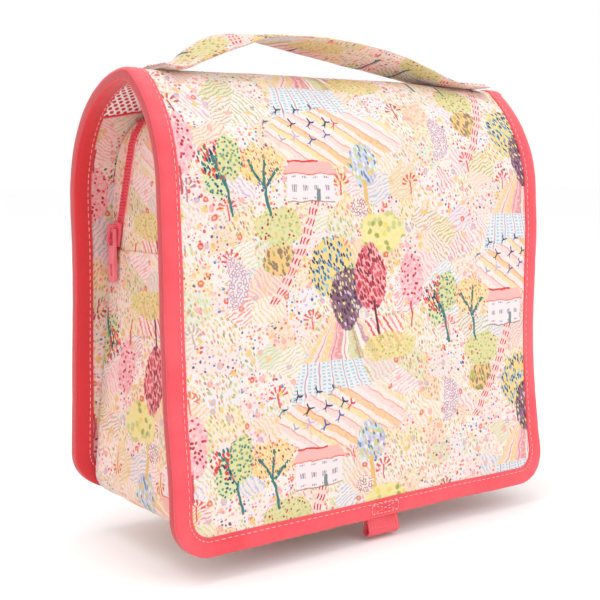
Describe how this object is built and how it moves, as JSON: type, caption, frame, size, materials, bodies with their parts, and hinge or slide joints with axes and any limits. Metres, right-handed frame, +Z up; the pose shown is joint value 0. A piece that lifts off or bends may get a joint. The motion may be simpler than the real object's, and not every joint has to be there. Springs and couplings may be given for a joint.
{
  "type": "hanging toiletry bag",
  "caption": "Hanging toiletry bag: a bound, padded wrap with a lifting front flap over a zipped box compartment, a carry handle on top and a hang loop below.",
  "frame": {"origin": "middle of the underside of the carry handle's strap, where a hand or hook holds the closed bag", "axes": "+X along the handle to the bag's right as the flap is faced, +Y out of the back panel, +Z up; the flap faces -Y"},
  "size_m": [0.24, 0.1026, 0.246],
  "materials": {
    "printed_cotton": "coated printed cotton, satin",
    "printed_lining": "printed cotton, matt",
    "wadding": "matt",
    "stiffener": "matt",
    "coral_binding": "woven tape, matt",
    "coral_backing": "plain weave, matt",
    "coral_webbing": "woven tape, matt",
    "white_mesh": "knitted mesh, matt",
    "hook_and_loop": "brushed pile, matt",
    "zip_tape": "woven tape, matt",
    "zip_coil": "satin nylon",
    "zip_slider": "satin enamel",
    "zip_puller": "satin enamel"
  },
  "bodies": {
    "bag_body": {"back_outer_fabric": "printed_cotton", "back_wadding": "wadding", "back_lining": "printed_lining", "back_binding": "coral_binding", "lower_gusset": "printed_cotton", "front_zip_gusset": "printed_cotton", "rear_zip_gusset": "printed_cotton", "zip_coil": "zip_coil", "zip_tape": "zip_tape", "zip_end_stops": "zip_coil", "compartment_lining": "printed_lining", "front_panel_fabric": "printed_cotton", "front_panel_wadding": "wadding", "base_board": "stiffener", "box_closure_patches": "hook_and_loop"},
    "top_panel": {"top_outer_fabric": "printed_cotton", "top_wadding": "wadding", "top_backing": "coral_backing", "top_bindings": "coral_binding", "top_mesh": "white_mesh", "handle_ends": "printed_cotton"},
    "front_flap": {"flap_outer_fabric": "printed_cotton", "flap_wadding": "wadding", "flap_backing": "coral_backing", "flap_binding": "coral_binding", "flap_mesh": "white_mesh", "flap_mesh_tape": "coral_binding", "flap_closure_patches": "hook_and_loop"},
    "carry_handle": {"handle_outer_fabric": "printed_cotton", "handle_webbing": "wadding", "handle_lining": "printed_cotton"},
    "slider": {"zip_slider": "zip_slider"},
    "puller": {"zip_puller": "zip_puller"},
    "loop": {"hang_loop": "coral_webbing"}
  },
  "joints": [
    {"name": "top_fold", "type": "hinge", "parent": "bag_body", "child": "top_panel", "pos_m": [0, 0.04215, -0.02985], "axis": [-1, 0, 0], "range_deg": [0, 90]},
    {"name": "flap_fold", "type": "hinge", "parent": "top_panel", "child": "front_flap", "pos_m": [0, -0.02449, -0.03563], "axis": [-1, 0, 0], "range_deg": [0, 90]},
    {"name": "handle_swing", "type": "hinge", "parent": "top_panel", "child": "carry_handle", "pos_m": [0, 0, -0.002], "axis": [1, 0, 0], "range_deg": [-35, 35]},
    {"name": "zip_travel", "type": "slide", "parent": "bag_body", "child": "slider", "axis": [0.0306, -0.2671, 0.9632], "range_m": [0, 0.03]},
    {"name": "puller_swing", "type": "hinge", "parent": "slider", "child": "puller", "pos_m": [-0.10244, 0.04897, -0.08806], "axis": [0, 1, 0], "range_deg": [0, 120]},
    {"name": "loop_swing", "type": "hinge", "parent": "front_flap", "child": "loop", "pos_m": [0.002, -0.03936, -0.234], "axis": [1, 0, 0], "range_deg": [-50, 50]}
  ]
}
